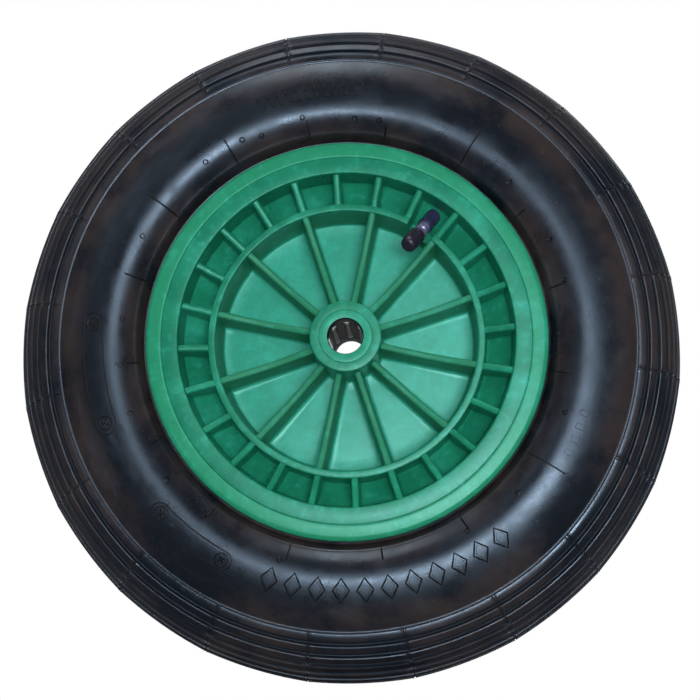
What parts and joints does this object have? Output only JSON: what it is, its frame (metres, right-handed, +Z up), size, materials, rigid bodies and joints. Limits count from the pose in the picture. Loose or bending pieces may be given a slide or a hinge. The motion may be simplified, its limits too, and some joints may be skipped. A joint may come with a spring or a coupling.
{
  "type": "pneumatic wheelbarrow wheel",
  "caption": "Air-filled wheelbarrow wheel with a ribbed tyre and inner tube on a spoked plastic rim, turning on a caged roller bearing.",
  "frame": {"origin": "the wheel's centre: on the axle's line, half way between the hub faces", "axes": "+Z up, the wheel spins about Y, the side with the valve faces -Y"},
  "size_m": [0.4, 0.1, 0.4],
  "materials": {
    "tyre_rubber": "satin, released from the mould",
    "tube_rubber": "satin",
    "rim_plastic": "satin moulded polypropylene",
    "cage_plastic": "moulded nylon",
    "steel": "ground",
    "brass": "dull, nickel washed"
  },
  "bodies": {
    "wheel": {"tyre": "tyre_rubber", "inner_tube": "tube_rubber", "rim_ring": "rim_plastic", "web_disc": "rim_plastic", "spokes_front": "rim_plastic", "spokes_rear": "rim_plastic", "hub_barrel": "rim_plastic", "end_cap_front": "rim_plastic", "end_cap_rear": "rim_plastic", "valve_stem_rubber": "tube_rubber", "valve_stem_brass": "brass", "valve_core_barrel": "brass", "valve_core_spring": "steel", "valve_core_seal": "tube_rubber"},
    "cage": {"bearing_cage": "cage_plastic"},
    "roller_1": {"roller_1": "steel"},
    "roller_2": {"roller_2": "steel"},
    "roller_3": {"roller_3": "steel"},
    "roller_4": {"roller_4": "steel"},
    "roller_5": {"roller_5": "steel"},
    "roller_6": {"roller_6": "steel"},
    "roller_7": {"roller_7": "steel"},
    "roller_8": {"roller_8": "steel"},
    "valve_pin": {"valve_core_pin": "brass"},
    "dust_cap": {"valve_cap": "cage_plastic", "valve_cap_washer": "tube_rubber"}
  },
  "joints": [
    {"name": "cage_spin", "type": "hinge", "parent": "wheel", "child": "cage", "pos_m": [0, 0, 0], "axis": [0, 1, 0], "continuous": true},
    {"name": "roller_1_spin", "type": "hinge", "parent": "cage", "child": "roller_1", "pos_m": [0.01259, 0, 0], "axis": [0, 1, 0], "continuous": true},
    {"name": "roller_2_spin", "type": "hinge", "parent": "cage", "child": "roller_2", "pos_m": [0.0089, 0, 0.0089], "axis": [0, 1, 0], "continuous": true},
    {"name": "roller_3_spin", "type": "hinge", "parent": "cage", "child": "roller_3", "pos_m": [0, 0, 0.01259], "axis": [0, 1, 0], "continuous": true},
    {"name": "roller_4_spin", "type": "hinge", "parent": "cage", "child": "roller_4", "pos_m": [-0.0089, 0, 0.0089], "axis": [0, 1, 0], "continuous": true},
    {"name": "roller_5_spin", "type": "hinge", "parent": "cage", "child": "roller_5", "pos_m": [-0.01259, 0, 0], "axis": [0, 1, 0], "continuous": true},
    {"name": "roller_6_spin", "type": "hinge", "parent": "cage", "child": "roller_6", "pos_m": [-0.0089, 0, -0.0089], "axis": [0, 1, 0], "continuous": true},
    {"name": "roller_7_spin", "type": "hinge", "parent": "cage", "child": "roller_7", "pos_m": [0, 0, -0.01259], "axis": [0, 1, 0], "continuous": true},
    {"name": "roller_8_spin", "type": "hinge", "parent": "cage", "child": "roller_8", "pos_m": [0.0089, 0, -0.0089], "axis": [0, 1, 0], "continuous": true},
    {"name": "cap_unscrew", "type": "slide", "parent": "wheel", "child": "dust_cap", "axis": [-0.4424, -0.6157, -0.6521], "range_m": [0, 0.015]},
    {"name": "pin_press", "type": "slide", "parent": "wheel", "child": "valve_pin", "axis": [0.4424, 0.6157, 0.6521], "range_m": [0, 0.0012], "stiffness_N_per_m": 400, "springref_m": -0.001}
  ],
  "couplings": [
    {"joint": "roller_1_spin", "follows": "cage_spin", "ratio": -6.064},
    {"joint": "roller_2_spin", "follows": "cage_spin", "ratio": -6.064},
    {"joint": "roller_3_spin", "follows": "cage_spin", "ratio": -6.064},
    {"joint": "roller_4_spin", "follows": "cage_spin", "ratio": -6.064},
    {"joint": "roller_5_spin", "follows": "cage_spin", "ratio": -6.064},
    {"joint": "roller_6_spin", "follows": "cage_spin", "ratio": -6.064},
    {"joint": "roller_7_spin", "follows": "cage_spin", "ratio": -6.064},
    {"joint": "roller_8_spin", "follows": "cage_spin", "ratio": -6.064}
  ]
}
